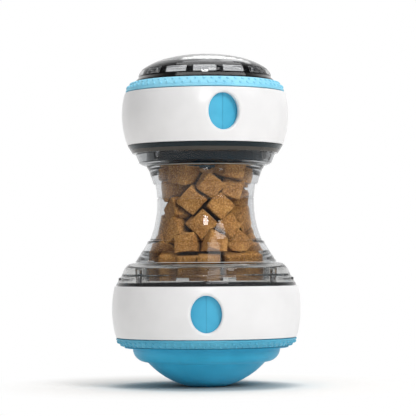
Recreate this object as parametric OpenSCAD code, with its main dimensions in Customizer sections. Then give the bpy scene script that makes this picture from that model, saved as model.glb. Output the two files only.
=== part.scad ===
// Tumbling treat dispenser: an hourglass tube between two ported heads, on a weighted round base.
// Millimetres, +Z up. The origin is the centre of the small flat foot under the base.
// Front is -Y. All ports are shut at rest, as the grip rings show them.

/* [Heads] */
// Height of the middle of the lower band above the floor
lower_mid = 38.6; // [38:0.1:40]
// Height of the middle of the upper band above the floor
upper_mid = 138.6; // [138:0.1:150]
// Height of the lower band
lower_band_h = 26.6; // [25.6:0.1:27.4]
// Height of the upper band
upper_band_h = 27.3; // [26:0.1:29]
// Largest radius of the lower band
lower_band_r = 49; // [48.5:0.1:52]
// Largest radius of the upper band
upper_band_r = 43.35; // [42.9:0.05:46]
// Radius of the bulge of the lower band, seen in section
lower_bulge_r = 52; // [48:1:90]
// Radius of the bulge of the upper band, seen in section
upper_bulge_r = 43.3; // [42:0.1:80]
// Wall of the lower band at its widest height
lower_band_wall = 3; // [2.8:0.05:3.2]
// Wall of the upper band at its widest height
upper_band_wall = 3.95; // [3.7:0.05:4]
// Radius of the edge round on a band
band_edge_r = 0.6; // [0.3:0.05:0.8]

/* [Ports] */
// Number of ports round each head
port_count = 3; // [2:1:3]
// Width of a lower port
lower_port_w = 15.6; // [10:0.1:18]
// Width of an upper port
upper_port_w = 15.4; // [10:0.1:16]
// Height of a port
port_h = 18.6; // [12:0.1:19.5]
// Direction of the first lower port, from +X
lower_port_a = -90; // [-110:1:-70]
// Direction of the first upper port, from +X
upper_port_a = -77; // [-97:1:-57]
// How far the lower ports lie from the band's middle, towards the base
lower_port_off = 0.5; // [0:0.1:0.8]
// How far the upper ports lie from the band's middle, towards the dome
upper_port_off = 1.4; // [0:0.1:1.5]
// How far a grip ring turns from shut to open
dial_turn = 60; // [50:1:60]
// Width of the index line on the shutter
index_w = 0.5; // [0.3:0.05:0.9]
// Depth of the index line on the shutter
index_d = 0.15; // [0.15:0.05:0.5]

/* [Sleeves and rings] */
// Wall of a shutter sleeve
shutter_wall = 2; // [1.6:0.1:2.2]
// Wall of a cage
cage_wall = 2; // [1.6:0.1:2.2]
// Height of the lower grip ring
lower_ring_h = 4.1; // [4:0.1:4.4]
// Height of the upper grip ring
upper_ring_h = 5.3; // [4.8:0.1:5.5]
// How far a grip ring leans in over its height
ring_lean = 3.9; // [3:0.1:4.2]
// Step from a band's widest radius in to its grip ring
ring_inset = 2.1; // [1.8:0.1:2.2]
// Thickness of the flange that joins a shutter to its grip ring
flange_t = 2.1; // [1.6:0.1:2.4]
// Running gap between a turning piece and a still one
run_gap = 0.3; // [0.25:0.01:0.4]

/* [Tube] */
// Step in from the narrower end of the waist's curve to its narrowest place
waist_in = 0.86; // [0.5:0.02:2]
// How far up the waist lies between the two ends of its curve
waist_share = 0.68; // [0.6:0.01:0.75]
// Wall of the tube
tube_wall = 2.3; // [1.8:0.1:2.6]
// Step in from the lower cage to the tube's lower spigot
lower_spigot_in = 8; // [7.8:0.1:8.4]
// Step in from the upper cage to the tube's upper spigot
upper_spigot_in = 7.2; // [7.1:0.1:7.6]
// Step out from the lower spigot to the tube's shoulder
lower_flare_out = 3.2; // [3:0.1:3.5]
// Step out from the upper spigot to the tube's shoulder
upper_flare_out = 2.9; // [2.8:0.1:3.2]
// Length of a spigot
spigot_h = 9; // [8.5:0.1:9.6]

/* [Screw threads of the tube] */
// Number of thread starts
thread_starts = 3; // [2:1:3]
// Rise in one full turn
thread_lead = 12; // [10:0.5:13]
// Height of a thread rib at its root
rib_h = 1.3; // [1:0.05:1.4]
// How far a thread rib stands out
rib_d = 1.1; // [0.8:0.05:1.2]
// Arc that a thread rib covers on the tube
rib_arc = 50; // [30:1:55]
// Gap between the faces of two engaged ribs
rib_gap = 0.4; // [0.3:0.05:0.6]

/* [Seals and screws] */
// Width of a neck seal
seal_w = 1.3; // [1:0.05:1.4]
// Thickness of a neck seal
seal_t = 1.2; // [1:0.05:1.5]
// Number of screws in each circle
screw_count = 3; // [2:1:3]
// Radius of a screw's shank
screw_r = 0.95; // [0.8:0.05:1.1]
// Radius of a screw's head
screw_head_r = 1.6; // [1.4:0.05:1.6]
// Height of a screw's head
screw_head_h = 1.3; // [1:0.05:1.5]
// Length of a collar screw under its head
collar_screw_len = 7; // [5:0.1:8]
// Length of a dome or base screw under its head
end_screw_len = 4; // [3.4:0.1:4.2]

/* [Dome] */
// Height of the smoky dome above its skirt
dome_h = 14.5; // [13.5:0.1:16]
// Step in from the grip ring's narrow end to the dome's skirt
dome_in = 1.25; // [0.8:0.05:1.6]
// Thickness of the dome's frame
dome_wall = 1.6; // [1.2:0.1:2]
// Thickness of the clear lens under the frame
lens_wall = 1.4; // [1:0.1:1.8]
// Number of windows round the dome
window_count = 14; // [8:1:16]
// Share of the pitch that a window takes
window_share = 0.78; // [0.5:0.01:0.84]
// Height of a window
window_h = 3.4; // [2.5:0.1:3.6]
// Step in from the dome's skirt to the opening at the top of the frame
top_pane_in = 4.7; // [4.4:0.1:8.4]

/* [Base] */
// Radius of the flat foot
foot_r = 10; // [7:0.1:11]
// Height where the round underside meets the shoulder
crease_z = 12.1; // [11.5:0.1:13]
// Step in from the grip ring's narrow end to the shoulder
shoulder_in = 4.7; // [3.8:0.1:5.4]
// Step in from the foot of the shoulder to the round underside
crease_in = 1; // [0.8:0.1:2]
// Wall of the base
base_wall = 2.4; // [2:0.1:3]

/* [Counterweight and treat cone] */
// Step in from the base's shoulder to the weight's disc
weight_in = 7.3; // [6.8:0.1:10]
// Step in from the weight's disc to the boss on top of it
boss_in = 9.5; // [8.5:0.1:15]
// Height of the boss on top of the weight
boss_h = 6; // [2:0.1:6.5]
// Height of the treat cone above its rim
cone_h = 14.5; // [14:0.1:15]
// Wall of the treat cone
cone_wall = 2; // [1.6:0.1:2.4]

/* [Collars] */
// Wall of a collar
collar_wall = 1.7; // [1.5:0.05:1.9]
// Step out from the tube's lower shoulder to the collar's end face
lower_end_out = 2; // [1.8:0.1:2.2]
// Step out from the tube's upper shoulder to the collar's end face
upper_end_out = 0.5; // [0.3:0.1:0.9]
// Step in from the band's bore to the step between the upper collar's two tiers
tier_in = 3; // [2.6:0.1:3.4]
// Number of raised pads round a collar
pad_count = 12; // [8:1:16]
// Share of the pitch that a pad takes
pad_share = 0.72; // [0.4:0.01:0.85]

/* [Treats] */
// Width of the cell that one treat fills
treat_cell = 11.4; // [10.6:0.1:12]
// Height of a layer of treats in the tube
tube_layer_h = 11.9; // [11:0.1:12]
// Height of a layer of treats in the lower head
head_layer_h = 10.9; // [10.6:0.1:10.9]
// Largest turn of a treat in its cell
treat_turn = 12; // [0:1:20]
// Largest lean of a treat in its cell
treat_lean = 1.5; // [0:0.5:3]
// Clearance between treats and the walls
treat_gap = 0.3; // [0.2:0.05:0.5]

/* [Hidden] */
$fn = 96;

// Half heights of the bands
lower_half = lower_band_h / 2;
upper_half = upper_band_h / 2;
// Bores of the bands, and every sleeve inside them
lower_bore = lower_band_r - lower_band_wall;
upper_bore = upper_band_r - upper_band_wall;
// How far each bulge's widest height lies from the band's middle, outwards
lower_bulge_off = -1.2;
upper_bulge_off = 2.1;
// Gap between a band's rim and its grip ring
rim_gap = run_gap + 0.05;
// How far a cage's outer flange stands past the band's rim
rim_step = 0.05;
// Depth of the collar's plug in the band's bore
plug_h = 1.6;
// Gap between the shutter's end and the plug
plug_gap = 0.4;
// Thickness of a cage's two end flanges
cage_flange_t = 1.6;
// How far a cage reaches past the band's rim towards the tube
cage_past = 1.2;
// Width of the neck that stands on a cage's outer flange, and its step in from the cage
neck_w = 3.5;
neck_step = 1.7;
// Distance of the outer screws from the neck's outside
end_screw_in = 2.05;
// Clearance between the neck and the shutter's flange, and the flange's step in from the sleeve
flange_gap = run_gap + 0.1;
flange_step = 0.8;
// How much wider and taller a shutter's opening is than its port
opening_extra = 0.8;
// Half of the angle that a stop takes, its play in the slot, and how far it stands out of the neck
stop_half_a = 3;
stop_play_a = 1;
stop_out = 1.1;
// How far a cage's outer flange reaches in past the neck, to catch the cone or the lens
catch_w = 1.5;
// Clearances of the threads and of the seals
thread_gap = 0.4;
seal_gap = 0.05;
seal_in_gap = 0.3;
// Wall of a collar's threaded neck, and how deep the root of a rib sits in its wall
collar_neck_wall = 1.5;
rib_root = 0.4;
// Axial gap between a collar's end and the tube's shoulder
shoulder_gap = 0.3;
// Height of a rib's middle above the shoulder, and how much shorter the collar's ribs are
rib_mid = 5.5;
rib_arc_less = 10;
// Radius of a collar's screw posts, and how far they stay off the collar's end face
post_r = 1.9;
post_off = 3;
// Heights of the lower and the upper collar between their bands and the tube's shoulders
lower_collar_h = 12.3;
upper_collar_h = 11.05;
// Places of the pads above the collars' end faces, and their heights
lower_pad_low = 7.6;
lower_pad_h = 2;
upper_pad_low = 6.7;
upper_pad_h = 1.3;
// Heights of the lower cone and the upper flare of the tube
lower_cone_h = 11.4;
upper_flare_h = 9.2;
// Height of the step between the base's shoulder and its round underside, and of the ledge above it
crease_step = 0.5;
ledge_h = 1.25;
// Height of the lower edge of the windows above the dome's skirt
window_low = 0.6;
// Height of the dome's skirt and how far it leans in
skirt_h = 2;
skirt_lean = 1.5;
// Height of the lower edge of the opening at the top of the dome, above the dome's foot
top_pane_z = 4;
// Gap between the lens and the frame, and between a pane and its window
lens_gap = 0.1;
pane_gap = 0.12;
// Clearance of the weight in the base
weight_gap = 0.3;
// Steps in from the tube's shoulders to the steps at the foot and the head of its waist, and their lips
step_low_in = 5.9;
step_low_lip = 1.5;
step_high_in = 3.6;
step_high_lip = 0.84;
// The screws lie midway between the ports
screw_turn = 180 / port_count;
// Width, half length and depth of the cross recess in a screw's head
recess_w = 0.4;
recess_r = 1;
recess_d = 0.7;
// Clearance round a screw's shank, and the length of its point
screw_gap = 0.05;
screw_tip = 0.6;
// How far a cut runs past what it cuts, and a joined piece into what it joins
past = 1;
eps = 0.01;

function shutter_out(bore) = bore - run_gap;
function shutter_in(bore) = shutter_out(bore) - shutter_wall;
function cage_out(bore) = shutter_in(bore) - run_gap;
function cage_in(bore) = cage_out(bore) - cage_wall;
function neck_out(bore) = cage_out(bore) - neck_step;
function neck_in(bore) = neck_out(bore) - neck_w;
function flange_in(bore) = neck_out(bore) + flange_gap;
function flange_out(bore) = shutter_out(bore) - flange_step;
function end_screw_at(bore) = neck_out(bore) - end_screw_in;
function collar_bore(spigot) = spigot + rib_d + thread_gap;
function collar_neck_out(spigot) = collar_bore(spigot) + collar_neck_wall;
function collar_screw_at(bore, spigot) = (collar_neck_out(spigot) + cage_in(bore)) / 2;
function ring_r(band_r) = band_r - ring_inset;
function seal_in(spigot) = spigot + rib_d + seal_in_gap;

// Radii of the tube
lower_spigot_r = cage_in(lower_bore) - lower_spigot_in;
upper_spigot_r = cage_in(upper_bore) - upper_spigot_in;
lower_flare_r = lower_spigot_r + lower_flare_out;
upper_flare_r = upper_spigot_r + upper_flare_out;
step_low_r = lower_flare_r - step_low_in;
step_high_r = upper_flare_r - step_high_in;
// Radii of the waist's two ends and of its narrowest place
waist_low_r = step_low_r - step_low_lip;
waist_high_r = step_high_r - step_high_lip;
waist_r = min(waist_low_r, waist_high_r) - waist_in;
// Radii of the collars' end faces and of the step between the upper collar's two tiers
lower_end_r = lower_flare_r + lower_end_out;
upper_end_r = upper_flare_r + upper_end_out;
tier_r = upper_bore - tier_in;
// Radii of the dome's skirt and of the opening at the top of its frame
dome_r = ring_r(upper_band_r) - ring_lean - dome_in;
top_pane_r = dome_r - top_pane_in;

// Heights of the tube's two shoulders, and of the two ends of its waist
lower_shoulder = lower_mid + lower_half + lower_collar_h;
upper_shoulder = upper_mid - upper_half - upper_collar_h;
waist_low = lower_shoulder + lower_cone_h;
waist_high = upper_shoulder - upper_flare_h;
waist_z = waist_low + waist_share * (waist_high - waist_low);
// The same shoulders as each head sees them
lower_reach = lower_mid - lower_shoulder;
upper_reach = upper_shoulder - upper_mid;

// The base: heights, the shoulder's round, and the round underside from its foot to its crease
ring_low_z = lower_mid - lower_half - rim_gap - lower_ring_h;
neck_top_z = lower_mid - lower_half - rim_step;
shoulder_z = ring_low_z - ledge_h;
shoulder_round = shoulder_z - crease_z - crease_step;
shoulder_r = ring_r(lower_band_r) - ring_lean - shoulder_in;
crease_r = shoulder_r - shoulder_round - crease_in;
base_zc = (pow(crease_r, 2) + pow(crease_z, 2) - pow(foot_r, 2)) / (2 * crease_z);
base_curve_r = sqrt(pow(base_zc, 2) + pow(foot_r, 2));
weight_r = shoulder_r - weight_in;
boss_r = weight_r - boss_in;
ledge_z = ring_low_z + 0.75;
weight_top = ledge_z - 0.1;
// Rim of the treat cone, inside the flange that catches it
cone_r = neck_in(lower_bore) - catch_w - run_gap;
// Foot of the dome in its head
dome_foot = upper_half + rim_gap + upper_ring_h + run_gap;

// Points of an arc in a section, from angle a to angle b
function arc(x, y, r, a, b, n) =
  [for (i = [0:n]) let (t = a + (b - a) * i / n) [x + r * cos(t), y + r * sin(t)]];

// A pseudo-random number from 0 to 1 that is the same for the same n
function noise(n) = let (v = sin(n * 127.1 + 31.7) * 43758.5453) v - floor(v);

// A head is drawn with its band's middle at 0 and its outer end up
module upper_head() {
  translate([0, 0, upper_mid]) children();
}

module lower_head() {
  translate([0, 0, lower_mid]) mirror([0, 0, 1]) children();
}

module around(count, first) {
  for (i = [0:count - 1]) rotate([0, 0, first + i * 360 / count]) children();
}

module ring(r_out, r_in, low, high) {
  rotate_extrude() translate([r_in, low]) square([r_out - r_in, high - low]);
}

// An upright oval that runs out along +X from the axis
module oval_bar(w, h, from, to) {
  translate([from, 0, 0]) rotate([90, 0, 90]) linear_extrude(to - from)
    polygon([for (i = [0:47]) [w / 2 * cos(i * 7.5), h / 2 * sin(i * 7.5)]]);
}

// The holes of a circle of ports, off their band's middle
module ports(w, h, a, off, from, to) {
  around(port_count, a) translate([0, 0, off]) oval_bar(w, h, from, to);
}

// A band's section: a straight bore, a bulging outside and rounded rims
function band_section(r, bore, half, bulge_r, bulge_off) =
  let (
    e = band_edge_r,
    x = r - bulge_r,
    low = -half + e,
    high = half - e,
    low_a = asin((low - bulge_off) / bulge_r),
    high_a = asin((high - bulge_off) / bulge_r),
    low_r = x + bulge_r * cos(low_a),
    high_r = x + bulge_r * cos(high_a)
  )
  concat(
    [[bore, -half]],
    arc(low_r - e, low, e, -90, -20, 4),
    arc(x, bulge_off, bulge_r, low_a, high_a, 14),
    arc(high_r - e, high, e, 20, 90, 4),
    [[bore, half]]
  );

module band(r, bore, half, bulge_r, bulge_off, port_w, port_a, port_off) {
  difference() {
    rotate_extrude() polygon(band_section(r, bore, half, bulge_r, bulge_off));
    ports(port_w, port_h, port_a, port_off, bore - 4 * past, r + past);
  }
}

module shutter(bore, half, port_w, port_a, port_off) {
  r_out = shutter_out(bore);
  r_in = shutter_in(bore);
  low = -half - run_gap + plug_h + plug_gap;
  top = half + rim_gap;
  difference() {
    union() {
      ring(r_out, r_in, low, top);
      ring(flange_out(bore), r_in, top - past, top + past);
      ring(flange_out(bore), flange_in(bore), top, top + flange_t);
    }
    // Openings that come round to the ports when the ring is turned
    ports(port_w + opening_extra, port_h + opening_extra, port_a - dial_turn, port_off,
      r_in - past, r_out + past);
    // Index line in the middle of each closed port
    around(port_count, port_a)
      translate([r_out - index_d, -index_w / 2, port_off - port_h / 2 - past])
      cube([index_d + past, index_w, port_h + 2 * past]);
    // Slot in the flange that a stop on the neck runs in
    stop_slot(bore, top, port_a);
  }
}

module stop_slot(bore, top, port_a) {
  half_a = stop_half_a + stop_play_a;
  rotate([0, 0, port_a - dial_turn - half_a]) rotate_extrude(angle = dial_turn + 2 * half_a)
    translate([neck_out(bore) - past, top - past]) square([past + stop_out + 0.5, flange_t + 2 * past]);
}

// Stop that stands on a neck and ends the ring's turn
module stop_lug(bore, top, port_a) {
  rotate([0, 0, port_a - stop_half_a]) rotate_extrude(angle = 2 * stop_half_a)
    translate([neck_out(bore) - 0.5, top + 0.2]) square([stop_out + 0.5, flange_t - 0.4]);
}

// A grip ring: an upright lip beside the band, then leaning in to its free end
module grip_ring(band_r, bore, half, h) {
  top = half + rim_gap;
  r = ring_r(band_r);
  seat = flange_out(bore);
  inner = flange_in(bore);
  rotate_extrude() polygon(concat(
    [[seat, top], [r - 0.2, top], [r, top + 0.2], [r, top + 0.17 * h], [r - 0.19 * ring_lean, top + 0.41 * h]],
    [[r - 0.41 * ring_lean, top + 0.63 * h], [r - 0.77 * ring_lean, top + 0.86 * h], [r - ring_lean, top + h]],
    [[inner, top + h], [inner, top + flange_t], [seat, top + flange_t]]
  ));
}

// Clearance holes for a circle of screws, midway between the ports
module screw_holes(port_a, at, low, h) {
  around(screw_count, port_a + screw_turn) translate([at, 0, low])
    cylinder(r = screw_r + screw_gap, h = h, $fn = 32);
}

module cage(bore, half, spigot, port_w, port_a, port_off) {
  out = cage_out(bore);
  in = cage_in(bore);
  low = -half - cage_past;
  high = half + rim_step;
  difference() {
    union() {
      ring(out, in, low, high);
      ring(out, collar_bore(spigot), low, low + cage_flange_t);
      ring(out, neck_in(bore) - catch_w, high - cage_flange_t, high);
    }
    ports(port_w, port_h, port_a, port_off, in - 2 * past, out + past);
    screw_holes(port_a, collar_screw_at(bore, spigot), low - past, cage_flange_t + 2 * past);
    screw_holes(port_a, end_screw_at(bore), high - cage_flange_t - past, cage_flange_t + 2 * past);
  }
}

// A pan-head screw with a cross recess, its head down and its seat at height 0
module screw(len) {
  difference() {
    union() {
      translate([0, 0, -screw_head_h]) cylinder(r = screw_head_r, h = screw_head_h, $fn = 32);
      translate([0, 0, -eps]) cylinder(r = screw_r, h = len - screw_tip, $fn = 32);
      translate([0, 0, len - screw_tip - eps])
        cylinder(r1 = screw_r, r2 = 0.4 * screw_r, h = screw_tip, $fn = 32);
    }
    for (a = [0, 90]) rotate([0, 0, a]) translate([-recess_r, -recess_w / 2, -screw_head_h - past])
      cube([2 * recess_r, recess_w, recess_d + past]);
  }
}

module collar_screw_set(bore, half, spigot, port_a) {
  around(screw_count, port_a + screw_turn)
    translate([collar_screw_at(bore, spigot), 0, -half - cage_past + cage_flange_t])
      mirror([0, 0, 1]) screw(collar_screw_len);
}

module end_screw_set(bore, half, port_a) {
  around(screw_count, port_a + screw_turn)
    translate([end_screw_at(bore), 0, half + rim_step - cage_flange_t])
    screw(end_screw_len);
}

// One thread rib: an arc of a ring, leaned so that it climbs with the thread
module thread_rib(root_r, crest_r, at, arc_a, hand) {
  lean = atan(thread_lead / (2 * PI * abs(root_r)));
  translate([0, 0, at]) rotate([hand * lean, 0, 0]) rotate([0, 0, -arc_a / 2]) rotate_extrude(angle = arc_a)
    polygon([
      [root_r, -rib_h / 2], [crest_r, -rib_h / 2 + 0.25],
      [crest_r, rib_h / 2 - 0.25], [root_r, rib_h / 2]
    ]);
}

// Outer line of the upper collar, drawn in by a wall w: a rounded end, a step and a skirt
function upper_collar_line(low, rim, w) = [
  [0, low + w], [upper_end_r - w / 2, low + w], [upper_end_r + 1.7 - w, low + 0.5 + 0.6 * w],
  [tier_r - 1.9 - w, low + 1.6 + 0.4 * w], [tier_r - w, low + 6.3],
  [tier_r + 1.5 - w, low + 6.5 + w / 4], [upper_bore + 1 - w, rim],
  [upper_bore + 1 - w, rim + w], [0, rim + w]
];

// Outer line of the lower collar, drawn in by a wall w: a rounded end, a groove and a skirt
function lower_collar_line(low, rim, w) = [
  [0, low + w], [lower_end_r - w / 2, low + w], [lower_end_r + 1.5 - w, low + 0.5 + 0.6 * w],
  [lower_end_r + 2.8 - w, low + 1.7 + 0.4 * w], [lower_end_r + 3.9 - w, low + 3.1],
  [lower_end_r + 5.4 - w, low + 6.2], [lower_end_r + 5.1 - w, low + 6.5], [lower_end_r + 5.8 - w, low + 6.8],
  [lower_bore + 0.6 - w, rim - 1], [lower_bore + 1 - w, rim], [lower_bore + 1 - w, rim + w], [0, rim + w]
];

// A collar from its outer and inner lines: skirt, plug, threaded neck, seat for the seal, screw posts
module collar(bore, half, spigot, port_a, shoulder, hand) {
  low = shoulder + shoulder_gap;
  seat = -half - cage_past;
  rim = -half - run_gap;
  bore_r = collar_bore(spigot);
  post_at = collar_screw_at(bore, spigot);
  difference() {
    union() {
      rotate_extrude() difference() {
        intersection() {
          children(0);
          translate([0, low]) square([bore + 1.2, rim - low]);
        }
        children(1);
      }
      ring(bore, shutter_in(bore) + 0.6, rim - past, rim + plug_h);
      ring(collar_neck_out(spigot), bore_r - past, low, seat);
      around(screw_count, port_a + screw_turn) translate([post_at, 0, low + post_off])
        cylinder(r = post_r, h = seat - low - post_off, $fn = 40);
    }
    translate([0, 0, low - past]) cylinder(r = bore_r, h = seat - low + 3 * past);
    translate([0, 0, low - past])
      cylinder(r = seal_in(spigot) + seal_w + 2 * seal_gap, h = past + seal_t - shoulder_gap + seal_gap);
    screw_holes(port_a, post_at, seat - collar_screw_len, collar_screw_len + 2 * past);
  }
  around(thread_starts, port_a) thread_rib(bore_r + rib_root, spigot + thread_gap,
    shoulder + rib_mid - rib_h - rib_gap, rib_arc - rib_arc_less, hand);
}

// Raised pads moulded round a collar, their outer face at radius r
module collar_pads(r, low, high) {
  around(pad_count, -90 - 180 * pad_share / pad_count)
    rotate_extrude(angle = 360 * pad_share / pad_count) translate([r - 1.2, low]) square([1.2, high - low]);
}

module neck_seal(spigot, shoulder) {
  r = seal_in(spigot);
  low = shoulder + seal_gap;
  rotate_extrude() polygon([
    [r, low + 0.2], [r + 0.2, low], [r + seal_w - 0.2, low],
    [r + seal_w, low + 0.2], [r + seal_w, shoulder + seal_t], [r, shoulder + seal_t]
  ]);
}

// Outer radius of the waist at height z: an arc on each side of its narrowest place, out to its ends
function waist_at(z) =
  let (
    h = (z > waist_z ? waist_high : waist_low) - waist_z,
    d = (z > waist_z ? waist_high_r : waist_low_r) - waist_r,
    r = (pow(h, 2) + pow(d, 2)) / (2 * d)
  )
  waist_r + r - sqrt(pow(r, 2) - pow(z - waist_z, 2));

function waist_heights(n) = [for (i = [0:n]) waist_low + i * (waist_high - waist_low) / n];

// Inner line of the tube from its foot up, as pairs of height and radius
tube_in_line =
  let (
    low_in = lower_spigot_r - tube_wall,
    high_in = upper_spigot_r - tube_wall,
    cone_w = 1.1 * tube_wall,
    // Where the lower cone's inner face reaches the spigot's bore
    drop = (lower_flare_r - cone_w - low_in) / (lower_flare_r - step_low_r),
    meet = lower_shoulder + 0.4 + drop * (waist_low - 2 - lower_shoulder)
  )
  concat(
    [[lower_shoulder - spigot_h - past, low_in], [meet, low_in], [waist_low - 1.6, step_low_r - cone_w]],
    [for (z = waist_heights(24)) [z, waist_at(z) - tube_wall]],
    [[waist_high + 5, high_in], [upper_shoulder + spigot_h + past, high_in]]
  );

module tube_outside() {
  translate([0, lower_shoulder - spigot_h]) square([lower_spigot_r, spigot_h + past]);
  polygon([
    [0, lower_shoulder], [lower_flare_r, lower_shoulder], [lower_flare_r, lower_shoulder + 0.4],
    [step_low_r, waist_low - 1.6], [step_low_r - 0.5, waist_low - 0.4], [waist_low_r, waist_low],
    [waist_low_r - past, waist_low + eps], [0, waist_low + eps]
  ]);
  difference() {
    polygon(concat([[0, waist_low]], [for (z = waist_heights(24)) [waist_at(z), z]], [[0, waist_high]]));
    // Groove above the waist
    translate([waist_r - 0.4, waist_z + 2]) polygon([[0, -0.1], [3, -1.2], [3, 1.2], [0, 0.3]]);
  }
  polygon([
    [0, waist_high - eps], [waist_high_r - eps, waist_high - eps], [step_high_r, waist_high],
    [step_high_r + 0.4, waist_high + 0.9], [upper_flare_r - 1.1, upper_shoulder - 2],
    [upper_flare_r, upper_shoulder - 0.3], [upper_flare_r, upper_shoulder], [0, upper_shoulder]
  ]);
  translate([0, upper_shoulder - past]) square([upper_spigot_r, spigot_h + past]);
}

module tube_inside() {
  polygon(concat(
    [[0, tube_in_line[0][0]]],
    [for (p = tube_in_line) [p[1], p[0]]],
    [[0, tube_in_line[len(tube_in_line) - 1][0]]]
  ));
}

// Points of the dome's crown, drawn in by a wall w
function crown(w) = [for (i = [0:18])
  [(dome_r - skirt_lean - w) * cos(i * 5), dome_foot + skirt_h + (dome_h - skirt_h - w) * sin(i * 5)]];

module crown_solid(w) {
  rotate_extrude() polygon(concat(crown(w), [[0, dome_foot + skirt_h]]));
}

// Blocks that stand in the dome's windows, wider and taller by grow
module window_blocks(grow) {
  width = 2 * (dome_r - 2.6) * sin(180 * window_share / window_count) + 2 * grow;
  around(window_count, -90) translate([dome_r - 9, -width / 2, dome_foot + skirt_h + window_low - grow])
    cube([12, width, window_h + 2 * grow]);
}

// How far out a layer of treats may reach, from the tube's inner line beside it
function tube_room(low, high) =
  min([for (i = [0:12]) lookup(low + i * (high - low) / 12, tube_in_line)]) - treat_gap;

// One treat in its cell, turned and leaned a little, on the treat below it
module treat(cell_w, cell_h, seed) {
  lean = treat_lean * (2 * noise(seed) - 1);
  turn = treat_turn * (2 * noise(seed + 0.37) - 1);
  room_w = cell_w - treat_gap;
  room_h = cell_h - treat_gap;
  side = room_w / ((cos(lean) + sin(abs(lean))) * (cos(turn) + sin(abs(turn))));
  height = (room_h - side * sin(abs(lean))) / cos(lean);
  rotate([lean, 0, turn]) cube([side, side, height], center = true);
}

// One layer of treats: rings of cells from the wall inwards, and one in the middle where it fits
module treat_layer(room, hole, low, cell_h, seed) {
  half_cell = treat_cell / 2;
  first = sqrt(pow(room, 2) - pow(half_cell, 2)) - half_cell;
  for (k = [0:3]) {
    at = first - k * treat_cell;
    inner = at - half_cell;
    if (inner > max(hole, half_cell * 0.8)) {
      pitch = 2 * atan(half_cell / inner);
      for (i = [0:floor(360 / pitch) - 1])
        rotate([0, 0, i * pitch + 47 * seed + 20 * k]) translate([at, 0, low + cell_h / 2])
          treat(treat_cell, cell_h, seed * 40 + k * 15 + i);
    } else if (hole <= 0 && at + half_cell > half_cell * 1.45) {
      translate([0, 0, low + cell_h / 2]) rotate([0, 0, 30 * seed])
        treat(treat_cell, cell_h, seed * 40 + 39);
    }
  }
}

module base_shell() {
  wall_r = base_curve_r - base_wall;
  in_round = shoulder_round - base_wall;
  at_r = shoulder_r - shoulder_round;
  neck = neck_out(lower_bore);
  inner = neck_in(lower_bore);
  foot_a = asin(foot_r / base_curve_r);
  crease_a = asin(crease_r / base_curve_r);
  inner_a = asin((crease_r - 2) / wall_r);
  color("steelblue") {
    difference() {
      rotate_extrude() polygon(concat(
        [[0, 0]],
        arc(0, base_zc, base_curve_r, foot_a - 90, crease_a - 90, 12),
        arc(at_r, shoulder_z, shoulder_round, -90, 0, 8),
        [[shoulder_r, shoulder_z + 0.4], [neck + 0.9, shoulder_z + 0.4], [neck + 0.9, ring_low_z - rim_gap]],
        [[neck, ring_low_z - rim_gap], [neck, neck_top_z], [inner, neck_top_z]],
        [[inner, ledge_z], [shoulder_r - base_wall, ledge_z]],
        arc(at_r, shoulder_z, in_round, 0, -90, 6),
        arc(0, base_zc, wall_r, inner_a - 90, -90, 12)
      ));
      screw_holes(lower_port_a, end_screw_at(lower_bore),
        neck_top_z + cage_flange_t - end_screw_len - 0.3, end_screw_len + past);
    }
    lower_head() stop_lug(lower_bore, lower_half + rim_gap, lower_port_a);
  }
}

module counterweight() {
  r = base_curve_r - base_wall - weight_gap;
  edge = crease_r - 3;
  color("slategray") rotate_extrude() polygon(concat(
    arc(0, base_zc, r, -90, asin(edge / r) - 90, 12),
    [[weight_r, crease_z + crease_step + base_wall + weight_gap + 0.1], [weight_r, weight_top]],
    [[boss_r, weight_top], [boss_r, weight_top + boss_h], [0, weight_top + boss_h]]
  ));
}

module treat_cone() {
  rim_r = neck_in(lower_bore) - 0.2;
  rim_in = rim_r - 1.8;
  rim_z = neck_top_z - 0.05;
  // Height of the rounded tip, and the slope below it
  tip_h = 1.2;
  slope = (cone_h - tip_h) / (cone_r - 6);
  drop = 1.15 * cone_wall;
  clamp_r = weight_r - 3.5;
  color("gainsboro") union() {
    rotate_extrude() polygon([
      [rim_r, ledge_z], [rim_r, rim_z], [cone_r, rim_z], [6, rim_z + cone_h - tip_h],
      [3, rim_z + cone_h - 0.3], [0, rim_z + cone_h], [0, rim_z + cone_h - drop],
      [5.4, rim_z + cone_h - tip_h - drop], [cone_r - 2, rim_z + 2 * slope - drop],
      [rim_in, rim_z - drop], [rim_in, ledge_z]
    ]);
    // Clamp that holds the weight down
    ring(clamp_r + 2, clamp_r, weight_top + 0.1, rim_z + (cone_r - clamp_r - 1) * slope - drop + 0.6);
  }
}

module base_screws() {
  color("silver") lower_head() end_screw_set(lower_bore, lower_half, lower_port_a);
}

module lower_grip_ring() {
  color("deepskyblue") lower_head() grip_ring(lower_band_r, lower_bore, lower_half, lower_ring_h);
}

module lower_shutter() {
  color("dodgerblue") lower_head()
    shutter(lower_bore, lower_half, lower_port_w, lower_port_a, lower_port_off);
}

module lower_band() {
  color("white") lower_head()
    band(lower_band_r, lower_bore, lower_half, lower_bulge_r, lower_bulge_off,
      lower_port_w, lower_port_a, lower_port_off);
}

module lower_cage() {
  color("darkslategray") lower_head()
    cage(lower_bore, lower_half, lower_spigot_r, lower_port_w, lower_port_a, lower_port_off);
}

module lower_collar() {
  low = lower_reach + shoulder_gap;
  rim = -lower_half - run_gap;
  color("dimgray") lower_head() {
    collar(lower_bore, lower_half, lower_spigot_r, lower_port_a, lower_reach, -1) {
      polygon(lower_collar_line(low, rim, 0));
      polygon(lower_collar_line(low, rim, collar_wall));
    }
    collar_pads(lower_bore - 0.3, low + lower_pad_low, low + lower_pad_low + lower_pad_h);
  }
}

module lower_collar_screws() {
  color("silver") lower_head() collar_screw_set(lower_bore, lower_half, lower_spigot_r, lower_port_a);
}

module lower_neck_seal() {
  color("lightgray") lower_head() neck_seal(lower_spigot_r, lower_reach);
}

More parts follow.
